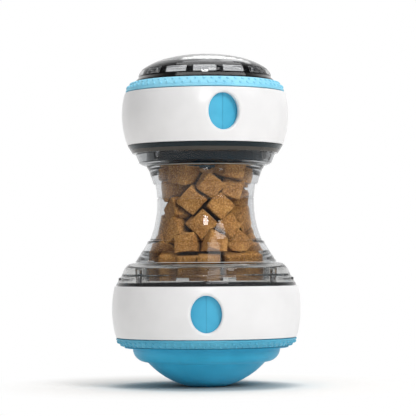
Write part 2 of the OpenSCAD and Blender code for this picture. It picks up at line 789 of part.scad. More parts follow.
module tube() {
  color("whitesmoke") {
    rotate_extrude() difference() {
      tube_outside();
      tube_inside();
    }
    upper_head() around(thread_starts, upper_port_a)
      thread_rib(upper_spigot_r - rib_root, upper_spigot_r + rib_d, upper_reach + rib_mid, rib_arc, 1);
    lower_head() around(thread_starts, lower_port_a)
      thread_rib(lower_spigot_r - rib_root, lower_spigot_r + rib_d, lower_reach + rib_mid, rib_arc, -1);
  }
}

module tube_treats() {
  first = lower_shoulder - spigot_h + 0.7;
  layers = floor((upper_shoulder + spigot_h - 1 - first) / tube_layer_h);
  color("peru") for (i = [0:layers - 1]) {
    low = first + i * tube_layer_h;
    treat_layer(tube_room(low, low + tube_layer_h), 0, low, tube_layer_h, i + 1);
  }
}

module head_treats() {
  top = lower_mid + lower_half + cage_past - cage_flange_t - 0.1;
  slope = cone_h / cone_r;
  color("peru") for (i = [1:2]) {
    low = top - i * head_layer_h;
    hole = max(0, cone_r - (low - neck_top_z) / slope) + treat_gap;
    treat_layer(cage_in(lower_bore) - 2 * screw_head_r - 1, hole, low, head_layer_h, i + 10);
  }
}

module upper_neck_seal() {
  color("lightgray") upper_head() neck_seal(upper_spigot_r, upper_reach);
}

module upper_collar() {
  low = upper_reach + shoulder_gap;
  rim = -upper_half - run_gap;
  color("dimgray") upper_head() {
    collar(upper_bore, upper_half, upper_spigot_r, upper_port_a, upper_reach, 1) {
      polygon(upper_collar_line(low, rim, 0));
      polygon(upper_collar_line(low, rim, collar_wall));
    }
    collar_pads(tier_r + 1.6, low + upper_pad_low, low + upper_pad_low + upper_pad_h);
  }
}

module upper_collar_screws() {
  color("silver") upper_head() collar_screw_set(upper_bore, upper_half, upper_spigot_r, upper_port_a);
}

module upper_cage() {
  color("darkslategray") upper_head()
    cage(upper_bore, upper_half, upper_spigot_r, upper_port_w, upper_port_a, upper_port_off);
}

module upper_band() {
  color("white") upper_head()
    band(upper_band_r, upper_bore, upper_half, upper_bulge_r, upper_bulge_off,
      upper_port_w, upper_port_a, upper_port_off);
}

module upper_shutter() {
  color("dodgerblue") upper_head()
    shutter(upper_bore, upper_half, upper_port_w, upper_port_a, upper_port_off);
}

module upper_grip_ring() {
  color("skyblue") upper_head() grip_ring(upper_band_r, upper_bore, upper_half, upper_ring_h);
}

module dome_frame() {
  neck = neck_out(upper_bore);
  inner = neck_in(upper_bore);
  seat = upper_half + rim_step;
  color("darkslategray") upper_head() {
    difference() {
      union() {
        crown_solid(0);
        rotate_extrude() polygon([
          [0, dome_foot], [dome_r, dome_foot], [dome_r, dome_foot + 0.4],
          [dome_r - skirt_lean, dome_foot + skirt_h + eps], [0, dome_foot + skirt_h + eps]
        ]);
        translate([0, 0, seat]) cylinder(r = neck, h = dome_foot - seat + past);
      }
      crown_solid(dome_wall);
      translate([0, 0, dome_foot + skirt_h - 0.6])
        cylinder(r = dome_r - skirt_lean - dome_wall, h = 0.6 + eps);
      translate([0, 0, seat - past]) cylinder(r = inner, h = dome_foot + top_pane_z - seat);
      translate([0, 0, dome_foot + top_pane_z]) cylinder(r = top_pane_r, h = dome_h);
      window_blocks(0);
      screw_holes(upper_port_a, end_screw_at(upper_bore), seat - past, end_screw_len + 0.3);
    }
    stop_lug(upper_bore, upper_half + rim_gap, upper_port_a);
  }
}

module dome_lens() {
  skirt_r = neck_in(upper_bore) - 2 * lens_gap;
  foot = upper_half + rim_step + 0.05;
  color("lightgray") upper_head() difference() {
    union() {
      crown_solid(dome_wall + lens_gap);
      translate([0, 0, foot]) cylinder(r = skirt_r, h = dome_foot + skirt_h + 0.5 - foot);
      translate([0, 0, dome_foot + skirt_h - 0.5])
        cylinder(r = dome_r - skirt_lean - dome_wall - lens_gap, h = 0.5 + eps);
      // Panes that fill the windows and the top opening
      intersection() {
        crown_solid(0.15);
        union() {
          window_blocks(-pane_gap);
          translate([0, 0, dome_foot + top_pane_z]) cylinder(r = top_pane_r - pane_gap, h = dome_h);
        }
      }
    }
    crown_solid(dome_wall + lens_gap + lens_wall);
    translate([0, 0, foot - past]) cylinder(r = skirt_r - lens_wall, h = dome_foot + skirt_h + 1.4 - foot);
  }
}

module dome_screws() {
  color("silver") upper_head() end_screw_set(upper_bore, upper_half, upper_port_a);
}

base_shell();
counterweight();
treat_cone();
base_screws();
lower_grip_ring();
lower_shutter();
lower_band();
lower_cage();
lower_collar();
lower_collar_screws();
lower_neck_seal();
tube();
tube_treats();
head_treats();
upper_neck_seal();
upper_collar();
upper_collar_screws();
upper_cage();
upper_band();
upper_shutter();
upper_grip_ring();
dome_frame();
dome_lens();
dome_screws();
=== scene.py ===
import math
import random

import bmesh
import bpy
import numpy as np
from mathutils import Euler, Matrix, Vector, noise
from mathutils.bvhtree import BVHTree


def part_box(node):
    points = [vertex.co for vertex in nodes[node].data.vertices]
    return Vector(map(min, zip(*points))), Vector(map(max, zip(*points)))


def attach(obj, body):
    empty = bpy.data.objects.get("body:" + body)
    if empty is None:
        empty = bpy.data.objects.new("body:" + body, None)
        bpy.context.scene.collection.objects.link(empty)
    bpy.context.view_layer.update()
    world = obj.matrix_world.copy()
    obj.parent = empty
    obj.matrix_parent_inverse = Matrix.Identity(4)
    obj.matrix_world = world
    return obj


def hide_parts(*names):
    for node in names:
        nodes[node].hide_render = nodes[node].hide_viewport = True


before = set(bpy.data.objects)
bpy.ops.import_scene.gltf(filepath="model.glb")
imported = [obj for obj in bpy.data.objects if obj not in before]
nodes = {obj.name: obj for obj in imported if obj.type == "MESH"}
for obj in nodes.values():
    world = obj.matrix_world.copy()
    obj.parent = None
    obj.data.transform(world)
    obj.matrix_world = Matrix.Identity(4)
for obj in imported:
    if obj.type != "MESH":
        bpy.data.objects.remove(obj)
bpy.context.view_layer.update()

# Lengths are in millimetres and angles in degrees, where a comment says nothing else

MM = 0.001
TURN = 2 * math.pi
QUARTER = math.pi / 2

# Camera, from the horizon and the ellipses in the photograph: metres away and up, lens, sensor and the
# metres of its view, and its angles
CAMERA_FAR = 1.021
CAMERA_HIGH = 0.0626
CAMERA_LENS = 169.6
CAMERA_SENSOR = 36
CAMERA_REACH = 100
CAMERA_PAN = 0.07
CAMERA_TILT = 1.67
CAMERA_ROLL = -0.38

# Heads: the band's middle and half height, radius of its bore and of its face, radius of its bulge and how
# far the bulge's middle lies over the band's, and the ports' width, first azimuth and height
LOWER = dict(mid=38.6, half=13.3, bore=46.0, out=49.0, bulge=52.0, off=1.2,
             port_w=15.6, port_a=-90.0, port_z=38.1)
UPPER = dict(mid=138.6, half=13.65, bore=39.4, out=43.35, bulge=43.3, off=2.1,
             port_w=15.4, port_a=-77.0, port_z=140.0)
PORTS = 3
PORT_H = 18.6
PORT_ROLL = 1.6
RIM_ROUND = 0.6

# A band's mesh: radians to each side of a port's middle that its block takes, and the steps along and up the
# block, over the port's roll, out to the block's edge, into the wall, between two blocks and round a rim
BLOCK = 0.3
ACROSS_STEPS = 28
UPRIGHT_STEPS = 24
ROLL_STEPS = 8
BLOCK_STEPS = 8
WALL_STEPS = 3
GAP_STEPS = 36
RIM_STEPS = 5

# A grip ring's profile from its band side on, as shares of its height and of its lean, and the groove in its
# lip, as shares of its height and depths
GRIP_LINE = ((0.0, 0.0), (0.17, 0.0), (0.41, 0.19), (0.63, 0.41), (0.86, 0.77), (1.0, 1.0))
GRIP_LEAN = 3.9
GRIP_GROOVE = ((0.2, 0.0), (0.22, 0.22), (0.26, 0.18), (0.29, 0.0))
GRIP_ROUND = 0.3
GRIP_STEPS = 180

# Its dots: radius, height, how deep they start in the ring, the steps of their mesh, and the share of the
# ring's height to each side of them over which their lean is measured
DOT_R = 0.9
DOT_H = 0.8
DOT_SUNK = 0.15
DOT_RINGS = 4
DOT_STEPS = 8
DOT_LEAN = 0.04

# Ribs under the dome, in the lens's hollow: its shelf over the lens's foot, its crown's foot, height and
# radius, and the ribs' places in it as the angle from the front or the back, inner and outer radius
LENS_SHELF = 8.35
CROWN_FOOT = 160.2
CROWN_H = 9.25
CROWN_R = 31.4
RIBS = ((64.3, 24.0, 26.2), (64.3, 27.6, 31.1), (90.0, 28.5, 31.1))
RIB_W = 1.6
RIB_END_SHARE = 0.7
RIB_BEVEL_W = 0.35
RIB_BEVEL_H = 0.5
RIB_STEPS = 6

# Treats: their sides and the share of them that is rounded, the gap to the tube's foot and wall, how much
# larger than their boxes those in the tube and in the head are shown, the height over which a dropped one is
# left out, and the steps along a side
TREAT_SIDES = (9.4, 11.0)
TREAT_ROUND = (0.08, 0.14)
TREAT_FLOOR = 0.8
TREAT_CLEAR = 0.2
TREAT_GROW = 1.1
HEAD_TREAT_GROW = 1.03
TREAT_TOP = 121.0
TREAT_STEPS = 9

# A treat's uneven surface, as waves in a millimetre and their height, and how far apart their noise lies
TREAT_WAVES = ((0.16, 0.5), (0.5, 0.22), (1.3, 0.12))
TREAT_NOISE = 99
CHANCE_SEED = 7

# The heap that is dropped: treats in all and in a layer, their place out from the axis, height of the first
# layer, pitch of the layers and their turn in radians
TREATS_DROPPED = 126
HEAP_LAYER = 4
HEAP_OUT = 12.5
HEAP_FOOT = 9
HEAP_PITCH = 15
HEAP_TURN = 0.7

# The tube's inner wall that they fall into: steps up and round it, how far under the tube's top it ends, and
# how far the straight funnel over it reaches
ROOM_STEPS = 56
ROOM_END = 0.5
HOPPER_STEPS = 72
HOPPER_TALL = 400

# The fall: millimetres in a unit of the simulation, frames, the sideways pull that shakes the tube, in
# metres a second squared, with its frames and its radians from one frame to the next, the solver's steps,
# and what treats and tube have as rigid bodies
FALL_UNIT = 10
FALL_FRAMES = 200
GRAVITY = 9.81
SHAKE = 5.0
SHAKE_FRAMES = 150
SHAKE_STEP = 0.9
FALL_SUBSTEPS = 12
FALL_SOLVES = 20
BODY = dict(use_margin=True, collision_margin=0.01, friction=0.04, restitution=0.0, angular_damping=0.2)

# How close corners lie to be one corner, here and in the CAD as digits, how close to a surface to be on it,
# how square two edges are to be at right angles, and the most of a side that one rounded corner takes
WELD = 0.002
CAD_DIGITS = 4
TOUCH = 0.05
SQUARE = 0.02
ROUND_MOST = 0.45

# Floor: half its side in metres, where its edge fades from and to, how far the painted shadow beside the
# base reaches, and its colours in the open and in that painted shadow
FLOOR_HALF = 14.0
FLOOR_NEAR = 50
FLOOR_FAR = 125
FLOOR_SHADE = 22
FLOOR_COLOUR = (0.94, 0.92, 0.895, 1)
FLOOR_SHADOW_PAINT = (0.2, 0.19, 0.18, 1)

# Backdrop: its strength as a light, and its least strength in gloss and through clear plastic, towards the
# front, from where it rises to full white between two shares of the way to the back
SKY_LIGHT = 0.45
SKY_GLOSS = 0.1
SKY_GLOSS_RISE = (0.25, 0.9)
SKY_THROUGH = 0.5
SKY_THROUGH_RISE = (0.55, 0.95)

# Height of the object's middle, at which most lamps aim, in metres
AIM_HIGH = 0.09


# Shader nodes

# Where most of a noise's values lie, and the values over which it changes a colour
NOISE_SPAN = (0.3, 0.7)
TONE_SPAN = (0.35, 0.65)

# Sockets of a Mix node for numbers and for colours: the two that come in and the one that goes out
MIX_SOCKETS = {"FLOAT": (2, 3, 0), "RGBA": (6, 7, 2)}

# Samples with which an Ambient Occlusion node looks for faces close by
SHADE_SAMPLES = 8


def linear(red, green, blue):
    """A colour written as it looks on a screen, 0 to 255, as the shader's numbers."""
    def one(c):
        c /= 255
        return c / 12.92 if c <= 0.04045 else ((c + 0.055) / 1.055) ** 2.4
    return (one(red), one(green), one(blue), 1.0)


class Tree:
    """The shader nodes of a material or of the world, with a short call for each kind."""

    def __init__(self, owner):
        owner.use_nodes = True
        self.tree = owner.node_tree

    def new(self, kind, **settings):
        """A new node with its settings."""
        node = self.tree.nodes.new("ShaderNode" + kind)
        for name, value in settings.items():
            setattr(node, name, value)
        return node

    def feed(self, socket, value):
        """Another node's output led into a socket, or a plain value set on it."""
        if isinstance(value, bpy.types.NodeSocket):
            self.tree.links.new(value, socket)
        else:
            socket.default_value = value

    def maths(self, operation, *values):
        node = self.new("Math", operation=operation)
        for socket, value in zip(node.inputs, values):
            self.feed(socket, value)
        return node.outputs["Value"]

    def mix(self, share, one, two, kind="RGBA"):
        """One colour, or number, where the share is 0, and the other where it is 1."""
        node = self.new("Mix", data_type=kind)
        first, second, out = MIX_SOCKETS[kind]
        for socket, value in ((0, share), (first, one), (second, two)):
            self.feed(node.inputs[socket], value)
        return node.outputs[out]

    def span(self, source, low, high, near=NOISE_SPAN[0], far=NOISE_SPAN[1], ease="LINEAR"):
        """The source's values from near to far, spread from low to high."""
        node = self.new("MapRange", interpolation_type=ease)
        values = {"Value": source, "From Min": near, "From Max": far, "To Min": low, "To Max": high}
        for name, value in values.items():
            self.feed(node.inputs[name], value)
        return node.outputs["Result"]

    def flip(self, source):
        """0 where the source is 1, and 1 where it is 0."""
        return self.span(source, 1.0, 0.0, 0.0, 1.0)

    def place(self, kind="Object"):
        """The shaded place in its object's own space, or Generated as the way to it in the world."""
        return self.new("TexCoord").outputs[kind]

    def along(self, axis, place):
        split = self.new("SeparateXYZ")
        self.feed(split.inputs[0], place)
        return split.outputs[axis]

    def length(self, place):
        node = self.new("VectorMath", operation="LENGTH")
        self.feed(node.inputs[0], place)
        return node.outputs["Value"]

    # Ambient occlusion, with which the treats and the floor get painted shade
    def open_air(self, reach_mm, own):
        """1 in the open, less where faces stand close, of the same object alone or of any."""
        node = self.new("AmbientOcclusion", samples=SHADE_SAMPLES, only_local=own)
        self.feed(node.inputs["Distance"], reach_mm * MM)
        return node.outputs["AO"]


class Paint(Tree):
    """A Principled material whose colour, roughness and bump come from noise in the piece's own space."""

    def __init__(self, name):
        self.mat = bpy.data.materials.new(name)
        super().__init__(self.mat)
        self.shader = self.tree.nodes["Principled BSDF"]
        self.last_bump = None

    def noise(self, size_mm, detail=3.0, stretch=(1, 1, 1)):
        """Soft noise with features about size_mm across."""
        scaled = self.new("Mapping")
        self.feed(scaled.inputs["Vector"], self.place())
        self.feed(scaled.inputs["Scale"], stretch)
        node = self.new("TexNoise")
        self.feed(node.inputs["Vector"], scaled.outputs["Vector"])
        self.feed(node.inputs["Scale"], 1 / (size_mm * MM))
        self.feed(node.inputs["Detail"], detail)
        return node.outputs["Fac"]

    def ramp(self, source, *stops):
        """Colours by the source's value, as pairs of value and colour."""
        node = self.new("ValToRGB")
        ramp = node.color_ramp
        while len(ramp.elements) < len(stops):
            ramp.elements.new(0.5)
        for element, (at, colour) in zip(ramp.elements, stops):
            element.position = at
            element.color = colour
        self.feed(node.inputs["Fac"], source)
        return node.outputs["Color"]

    def tones(self, source, dark, light):
        """From the dark colour to the light one by the source's value."""
        return self.ramp(source, (TONE_SPAN[0], dark), (TONE_SPAN[1], light))

    def colour(self, source):
        self.feed(self.shader.inputs["Base Color"], source)

    def rough(self, source, low, high):
        self.feed(self.shader.inputs["Roughness"], self.span(source, low, high))

    def bump(self, height, depth_mm):
        """Bumps by a height, on top of those made before."""
        node = self.new("Bump")
        self.feed(node.inputs["Strength"], 1.0)
        self.feed(node.inputs["Distance"], depth_mm * MM)
        self.feed(node.inputs["Height"], height)
        if self.last_bump:
            self.feed(node.inputs["Normal"], self.last_bump)
        self.last_bump = node.outputs["Normal"]
        self.feed(self.shader.inputs["Normal"], self.last_bump)

    def outside(self, near_mm, far_mm):
        """0 within one radius of the vertical axis, 1 outside the other."""
        flat = self.new("VectorMath", operation="MULTIPLY")
        self.feed(flat.inputs[0], self.place())
        self.feed(flat.inputs[1], (1, 1, 0))
        return self.span(self.length(flat.outputs["Vector"]), 0.0, 1.0, near_mm * MM, far_mm * MM)

    def between(self, low_mm, high_mm):
        """1 between two heights, 0 elsewhere."""
        middle = (low_mm + high_mm) / 2 * MM
        half = (high_mm - low_mm) / 2 * MM
        return self.maths("COMPARE", self.along("Z", self.place()), middle, half)

    def line_at(self, degrees, half_mm, r_mm):
        """1 on an upright line at an angle and on its copy at each other port."""
        turned = self.maths("ARCTAN2", self.along("Y", self.place()), self.along("X", self.place()))
        apart = 180 / PORTS
        near = self.maths("WRAP", turned, math.radians(degrees + apart), math.radians(degrees - apart))
        return self.maths("COMPARE", near, math.radians(degrees), half_mm / r_mm)

    def absorb(self, colour, per_metre):
        """Colour that deepens with the length of the way through the plastic."""
        node = self.new("VolumeAbsorption")
        self.feed(node.inputs["Color"], colour)
        self.feed(node.inputs["Density"], per_metre)
        self.feed(self.tree.nodes["Material Output"].inputs["Volume"], node.outputs["Volume"])

    def set(self, **values):
        """Plain numbers on the shader's sockets, whose names have a space for each _ here."""
        for name, value in values.items():
            self.shader.inputs[name.replace("_", " ")].default_value = value


# Materials

# Plastic: sizes of its clouds of colour and of gloss, and size and depth of its moulded grain
CLOUD_MM = 14
GLOSS_MM = 9
GRAIN_MM = 0.35
GRAIN_DEEP = 0.006
SOFT_GRAIN = dict(grain_mm=0.25, depth_mm=0.012)

# Index lines on the shutters: half their width, share of their colour, and the colour
INDEX_HALF = 0.2
INDEX_SHARE = 0.28
INDEX_BLUE = linear(36, 124, 162)

# Clear plastic: size and stretch of its flow marks, size of its gloss clouds, and the index of refraction of
# the dome, and a lower one of the collars and the tube, whose many walls would hide the treats
FLOW_MM = 9
FLOW_STRETCH = (1, 1, 0.35)
CLEAR_GLOSS_MM = 5
CLEAR_IOR = 1.49
THIN_IOR = 1.3


def plastic(name, dark, light, rough, grain_mm=GRAIN_MM, depth_mm=GRAIN_DEEP, **more):
    """Moulded plastic: a little cloudy in colour and gloss, with a fine moulded skin."""
    p = Paint(name)
    p.colour(p.tones(p.noise(CLOUD_MM, detail=2.5), dark, light))
    p.rough(p.noise(GLOSS_MM), *rough)
    p.bump(p.noise(grain_mm, detail=2), depth_mm)
    p.set(**more)
    return p.mat


def zone(near, far, colour, light, heights=None):
    """A part of a clear piece: its colour, and the share of the light that it lets through.

    It lies outside the radii near and far, or inside them if near is the larger, and between two heights if
    they are given.
    """
    return near, far, colour, light, heights


def clear(name, dark, light, smoke, rough, depth_mm=0.03, ior=CLEAR_IOR, zones=()):
    """See-through plastic: faint flow marks in colour and surface, clouds of gloss, smoke in its depth."""
    p = Paint(name)
    flow = p.noise(FLOW_MM, detail=2, stretch=FLOW_STRETCH)
    skin = p.tones(flow, dark, light)
    blocked = None
    for near, far, colour, share, heights in zones:
        there = p.outside(min(near, far), max(near, far))
        if near > far:
            there = p.flip(there)
        if heights:
            there = p.maths("MULTIPLY", there, p.between(*heights))
        skin = p.mix(there, skin, colour)
        less = p.span(there, 0.0, 1.0 - share, 0.0, 1.0)
        blocked = p.maths("ADD", blocked, less) if blocked else less
    p.colour(skin)
    p.rough(p.noise(CLEAR_GLOSS_MM, detail=4), *rough)
    p.bump(flow, depth_mm)
    p.absorb(*smoke)
    p.set(Transmission_Weight=1.0, IOR=ior)
    if blocked:
        p.feed(p.shader.inputs["Transmission Weight"], p.flip(blocked))
    return p.mat


def shutter(name, dark, light, head):
    """Satin blue plastic with a fine index line on the middle of each part that shuts a port."""
    p = Paint(name)
    line = p.line_at(head["port_a"], INDEX_HALF, head["bore"])
    skin = p.tones(p.noise(CLOUD_MM), dark, light)
    p.colour(p.mix(p.span(line, 0.0, INDEX_SHARE, 0.0, 1.0), skin, INDEX_BLUE))
    p.rough(p.noise(GRAIN_MM), 0.32, 0.45)
    p.bump(p.noise(GRAIN_MM), GRAIN_DEEP)
    return p.mat


def metal(name, dark, light, rough):
    """Plated steel: brushed a little along Z, with small stains."""
    p = Paint(name)
    p.colour(p.ramp(p.noise(size_mm=3, detail=5), (0.3, dark), (0.7, light)))
    lines = p.noise(size_mm=0.5, stretch=(1, 1, 0.08))
    p.rough(lines, *rough)
    p.bump(lines, depth_mm=0.004)
    p.set(Metallic=1.0)
    return p.mat


def kibble():
    """Baked treats: browned skin, coarse grains, small pores, and painted shade that darkens the creases."""
    p = Paint("kibble")
    cloud = p.noise(size_mm=8)
    grain = p.noise(size_mm=0.66, detail=6)
    base = p.ramp(cloud, (0.32, linear(114, 71, 24)), (0.5, linear(148, 99, 42)),
                  (0.7, linear(176, 127, 64)))
    speck = p.ramp(grain, (0.36, linear(64, 37, 12)), (0.5, linear(148, 100, 44)),
                   (0.64, linear(216, 172, 110)))
    # Painted shade: deep brown where faces of the treats stand close, as in the creases between them
    open_air = p.span(p.open_air(reach_mm=3.0, own=True), 0.0, 1.0, 0.35, 0.8)
    p.colour(p.mix(open_air, linear(52, 28, 8), p.mix(0.48, base, speck)))
    p.rough(grain, 0.6, 0.85)
    p.bump(grain, depth_mm=0.35)
    p.bump(p.noise(size_mm=2.2, detail=5), depth_mm=0.6)
    p.set(Specular_IOR_Level=0.3)
    return p.mat


WHITE = plastic("band_white", linear(232, 232, 233), linear(236, 236, 237), rough=(0.3, 0.36))
INNER_WHITE = plastic("inner_white", linear(206, 208, 206), linear(222, 224, 222), rough=(0.5, 0.65))
BASE_BLUE = plastic("base_blue", linear(44, 164, 203), linear(52, 173, 212), rough=(0.36, 0.46),
                    Specular_IOR_Level=0.3)
LOWER_SHUTTER_BLUE = shutter("lower_shutter_blue", linear(54, 164, 204), linear(66, 176, 214), LOWER)
UPPER_SHUTTER_BLUE = shutter("upper_shutter_blue", linear(66, 174, 212), linear(78, 186, 222), UPPER)
GRIP_LOWER = plastic("grip_lower", linear(76, 168, 200), linear(88, 178, 208), rough=(0.45, 0.6),
                     **SOFT_GRAIN)
GRIP_UPPER = plastic("grip_upper", linear(130, 206, 234), linear(144, 216, 241), rough=(0.45, 0.6),
                     **SOFT_GRAIN)
SILICONE = plastic("silicone", linear(186, 190, 190), linear(204, 208, 208), rough=(0.4, 0.55),
                   Transmission_Weight=0.35)
CAGE_SMOKE = plastic("cage_smoke", linear(16, 36, 44), linear(26, 52, 62), rough=(0.18, 0.3))
RIB_SMOKE = plastic("rib_smoke", linear(34, 36, 38), linear(48, 50, 52), rough=(0.2, 0.35))
COLLAR_UPPER = clear("collar_upper", linear(215, 216, 216), linear(225, 226, 226),
                     smoke=((0.5, 0.52, 0.54, 1), 200.0), rough=(0.02, 0.05), depth_mm=0.01, ior=THIN_IOR,
                     zones=(zone(31.8, 31.4, linear(4, 34, 48), light=0.06),
                            zone(37.3, 37.7, linear(88, 84, 78), light=0.4, heights=(120.6, 122.5)),
                            zone(1.0, 2.0, linear(32, 54, 62), light=0.6, heights=(122.5, 126.0))))
COLLAR_LOWER = clear("collar_lower", linear(250, 250, 249), linear(254, 254, 253),
                     smoke=((0.5, 0.5, 0.5, 1), 240.0), rough=(0.02, 0.05), depth_mm=0.01, ior=THIN_IOR,
                     zones=(zone(1.0, 2.0, linear(120, 120, 120), light=0.9, heights=(51.5, 53.4)),))
TUBE_CLEAR = clear("tube_clear", linear(251, 252, 253), linear(253, 254, 255),
                   smoke=((0.5, 0.51, 0.52, 1), 110.0), rough=(0.03, 0.05), depth_mm=0.008, ior=THIN_IOR)
DOME_SMOKE = clear("dome_smoke", linear(90, 92, 94), linear(106, 108, 110),
                   smoke=((0.3, 0.31, 0.32, 1), 1500.0), rough=(0.03, 0.09), depth_mm=0.01)
LENS_CLEAR = clear("lens_clear", linear(230, 231, 232), linear(237, 238, 239),
                   smoke=((0.5, 0.51, 0.52, 1), 30.0), rough=(0.04, 0.09),
                   zones=(zone(26.6, 27.8, linear(34, 36, 38), light=0.55, heights=(164.9, 175.0)),))
STEEL = metal("steel", linear(120, 122, 126), linear(164, 166, 170), rough=(0.25, 0.4))
SCREW_STEEL = metal("screw_steel", linear(170, 170, 174), linear(210, 210, 214), rough=(0.15, 0.3))
KIBBLE = kibble()

FINISH = {
    "base_shell": BASE_BLUE,
    "counterweight": STEEL,
    "treat_cone": INNER_WHITE,
    "base_screws": SCREW_STEEL,
    "lower_grip_ring": GRIP_LOWER,
    "lower_shutter": LOWER_SHUTTER_BLUE,
    "lower_band": WHITE,
    "lower_cage": CAGE_SMOKE,
    "lower_collar": COLLAR_LOWER,
    "lower_collar_screws": SCREW_STEEL,
    "lower_neck_seal": SILICONE,
    "tube": TUBE_CLEAR,
    "tube_treats": KIBBLE,
    "head_treats": KIBBLE,
    "upper_neck_seal": SILICONE,
    "upper_collar": COLLAR_UPPER,
    "upper_collar_screws": SCREW_STEEL,
    "upper_cage": CAGE_SMOKE,
    "upper_band": WHITE,
    "upper_shutter": UPPER_SHUTTER_BLUE,
    "upper_grip_ring": GRIP_UPPER,
    "dome_frame": DOME_SMOKE,
    "dome_lens": LENS_CLEAR,
    "dome_screws": SCREW_STEEL,
}
SEE_THROUGH = ("tube", "lower_collar", "upper_collar", "dome_lens", "dome_frame")


# Mesh building

def add_object(name, data):
    """A new object in the scene."""
    made = bpy.data.objects.new(name, data)
    bpy.context.scene.collection.objects.link(made)
    return made


def piece(name, corners, faces, finish, body, slot, *stands_for, smooth=True):
    """A new mesh piece from corners in millimetres, which rides on a body and stands for CAD nodes."""
    data = bpy.data.meshes.new(name)
    data.from_pydata([tuple(c * MM for c in p) for p in corners], [], faces)
    weld = bmesh.new()
    weld.from_mesh(data)
    bmesh.ops.remove_doubles(weld, verts=weld.verts, dist=WELD * MM)
    bmesh.ops.recalc_face_normals(weld, faces=weld.faces)
    weld.to_mesh(data)
    weld.free()
    if smooth:
        data.shade_smooth()
    data.materials.append(finish)
    made = add_object(name, data)
    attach(made, body)
    if stands_for:
        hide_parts(*stands_for)
    return made


def spaced(low, high, count):
    """Values from low to high in so many equal steps."""
    return [low + (high - low) * i / count for i in range(count + 1)]


def polar(r, angle, z):
    return (r * math.cos(angle), r * math.sin(angle), z)


def grid_faces(first, rows, columns, closed=False):
    """Quads between rows of corners that were added one after the other."""
    found = []
    last = columns if closed else columns - 1
    for i in range(rows - 1):
        for j in range(last):
            k = (j + 1) % columns
            found.append((first + i * columns + j, first + i * columns + k,
                          first + (i + 1) * columns + k, first + (i + 1) * columns + j))
    return found


def lathe(line, steps):
    """A closed section of (radius, height) turned round the axis."""
    corners = [polar(r, TURN * j / steps, z) for r, z in line for j in range(steps)]
    faces = grid_faces(0, len(line), steps, True)
    high = (len(line) - 1) * steps
    faces += [(high + j, high + (j + 1) % steps, (j + 1) % steps, j) for j in range(steps)]
    return corners, faces


def rounded(line, radius, steps=3):
    """The same closed section with its corners rounded."""
    out = []
    for i, here in enumerate(line):
        before = Vector(line[i - 1])
        after = Vector(line[(i + 1) % len(line)])
        here = Vector(here)
        to_before, to_after = before - here, after - here
        cut = min(radius, ROUND_MOST * to_before.length, ROUND_MOST * to_after.length)
        start = here + to_before.normalized() * cut
        end = here + to_after.normalized() * cut
        for k in range(steps + 1):
            t = k / steps
            p = start * (1 - t) ** 2 + here * 2 * t * (1 - t) + end * t ** 2
            out.append((p.x, p.y))
    return out


# Bands

def square_edge():
    """Points round the edge of a square from -1 to 1, with the first one again at the end."""
    across = spaced(-1, 1, ACROSS_STEPS)[:-1]
    upright = spaced(-1, 1, UPRIGHT_STEPS)[:-1]
    points = [(s, -1) for s in across] + [(1, s) for s in upright]
    points += [(-s, 1) for s in across] + [(-1, -s) for s in upright]
    return points + points[:1]


